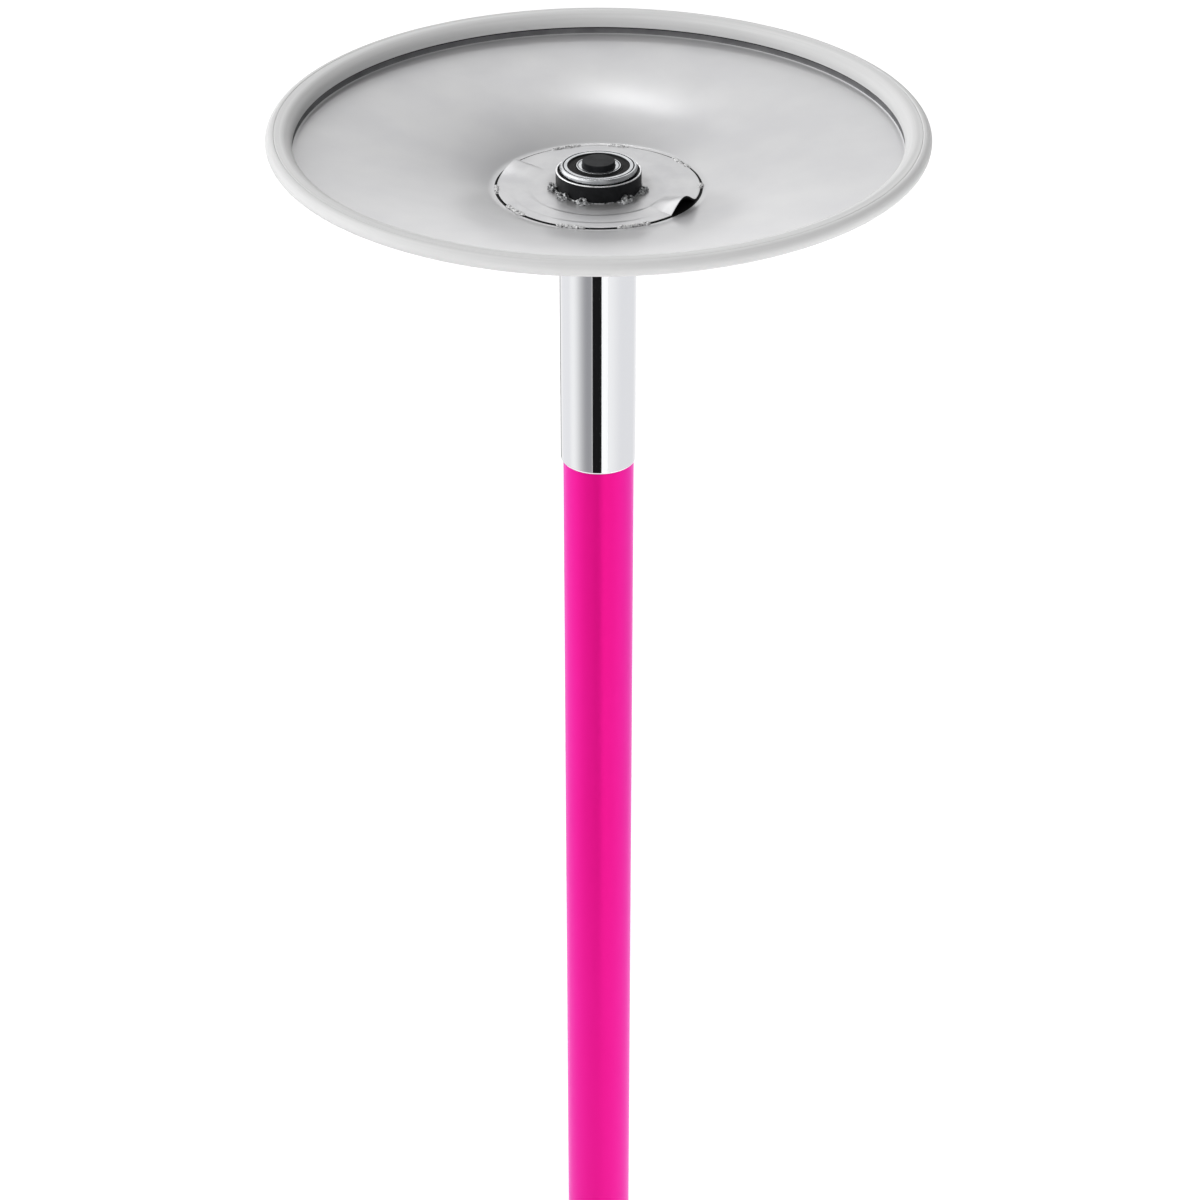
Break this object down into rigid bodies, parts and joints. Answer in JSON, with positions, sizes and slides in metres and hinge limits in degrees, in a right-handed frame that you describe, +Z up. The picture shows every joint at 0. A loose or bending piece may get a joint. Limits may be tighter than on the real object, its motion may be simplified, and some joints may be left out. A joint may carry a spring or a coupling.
{
  "type": "dance pole",
  "caption": "Spinning dance pole: pink painted tube braced between floor and ceiling, with a dished bearing dome, chrome sleeves and a screw height adjuster.",
  "frame": {"origin": "centre of the floor pad's underside, on the pole's axis", "axes": "+Z up along the pole, -Y towards the front, where the key holes of the couplers are"},
  "size_m": [0.3979, 0.398, 2.4216],
  "materials": {
    "pad_rubber": "matte black rubber, moulded",
    "chrome_plate": "bright chrome plate on polished steel",
    "zinc_steel": "zinc plated steel",
    "bearing_steel": "ground bearing steel",
    "bearing_seal": "black moulded rubber on a steel insert",
    "cage_brass": "stamped brass",
    "black_steel": "black oxide on turned steel",
    "pink_paint": "pink powder coat, satin gloss",
    "coupler_alloy": "sawn and turned aluminium",
    "housing_steel": "dark turned steel with a bright worn mouth",
    "dish_satin": "light grey satin paint on spun steel",
    "seal_rubber": "light grey rubber, matte"
  },
  "bodies": {
    "base": {"base_pad": "pad_rubber", "base_plate": "chrome_plate", "base_screws": "zinc_steel", "base_housing": "chrome_plate", "base_retainer": "chrome_plate", "retainer_screws": "zinc_steel", "base_bearing_outer_ring": "bearing_steel", "base_bearing_seals": "bearing_seal", "base_thrust_lower_washer": "bearing_steel"},
    "base_ball_set": {"base_bearing_cage": "cage_brass", "base_bearing_balls": "bearing_steel"},
    "base_thrust_set": {"base_thrust_cage": "cage_brass", "base_thrust_balls": "bearing_steel"},
    "spin_lock_left": {"spin_lock_screw_left": "black_steel"},
    "spin_lock_right": {"spin_lock_screw_right": "black_steel"},
    "cover": {"cover_sleeve": "chrome_plate"},
    "spindle": {"adjuster_spindle": "zinc_steel", "base_bearing_inner_ring": "bearing_steel", "base_thrust_upper_washer": "bearing_steel"},
    "pole": {"lower_end_bush": "zinc_steel", "lower_tube": "pink_paint", "extension_tube": "pink_paint", "upper_tube": "pink_paint", "lower_coupler_front": "coupler_alloy", "lower_coupler_back": "coupler_alloy", "lower_coupler_screws": "black_steel", "upper_coupler_front": "coupler_alloy", "upper_coupler_back": "coupler_alloy", "upper_coupler_screws": "black_steel", "top_spindle": "black_steel", "chrome_sleeve": "chrome_plate", "top_thrust_lower_washer": "bearing_steel", "top_bearing_inner_ring": "bearing_steel"},
    "adjuster": {"adjuster_nut": "zinc_steel", "adjuster_washer": "cage_brass"},
    "dome": {"bearing_housing": "housing_steel", "dome_dish": "dish_satin", "hub_plate": "dish_satin", "dome_seal": "seal_rubber", "top_bearing_outer_ring": "bearing_steel", "top_bearing_seals": "bearing_seal", "top_thrust_upper_washer": "bearing_steel"},
    "top_ball_set": {"top_bearing_cage": "cage_brass", "top_bearing_balls": "bearing_steel"},
    "top_thrust_set": {"top_thrust_cage": "cage_brass", "top_thrust_balls": "bearing_steel"}
  },
  "joints": [
    {"name": "base_spin", "type": "hinge", "parent": "base", "child": "spindle", "pos_m": [0, 0, 0.036], "axis": [0, 0, 1], "continuous": true},
    {"name": "base_cage_turn", "type": "hinge", "parent": "base", "child": "base_ball_set", "pos_m": [0, 0, 0.036], "axis": [0, 0, 1], "continuous": true},
    {"name": "base_thrust_turn", "type": "hinge", "parent": "base", "child": "base_thrust_set", "pos_m": [0, 0, 0.0145], "axis": [0, 0, 1], "continuous": true},
    {"name": "spin_lock_left_in", "type": "slide", "parent": "base", "child": "spin_lock_left", "axis": [1, 0, 0], "range_m": [0, 0.0019]},
    {"name": "spin_lock_right_in", "type": "slide", "parent": "base", "child": "spin_lock_right", "axis": [-1, 0, 0], "range_m": [0, 0.0019]},
    {"name": "cover_lift", "type": "slide", "parent": "base", "child": "cover", "axis": [0, 0, 1], "range_m": [0, 0.15]},
    {"name": "height_adjust", "type": "slide", "parent": "spindle", "child": "pole", "axis": [0, 0, 1], "range_m": [0, 0.08]},
    {"name": "adjuster_turn", "type": "hinge", "parent": "pole", "child": "adjuster", "pos_m": [0, 0, 0.091], "axis": [0, 0, 1], "range_deg": [0, 8229]},
    {"name": "dome_spin", "type": "hinge", "parent": "pole", "child": "dome", "pos_m": [0, 0, 2.3873], "axis": [0, 0, 1], "continuous": true},
    {"name": "top_cage_turn", "type": "hinge", "parent": "pole", "child": "top_ball_set", "pos_m": [0, 0, 2.3873], "axis": [0, 0, 1], "continuous": true},
    {"name": "top_thrust_turn", "type": "hinge", "parent": "pole", "child": "top_thrust_set", "pos_m": [0, 0, 2.3711], "axis": [0, 0, 1], "continuous": true}
  ],
  "couplings": [
    {"joint": "adjuster_turn", "follows": "height_adjust", "rad_per_m": 1795.2},
    {"joint": "base_cage_turn", "follows": "base_spin", "ratio": 0.3965},
    {"joint": "base_thrust_turn", "follows": "base_spin", "ratio": 0.5},
    {"joint": "top_cage_turn", "follows": "dome_spin", "ratio": 0.6185},
    {"joint": "top_thrust_turn", "follows": "dome_spin", "ratio": 0.5}
  ]
}
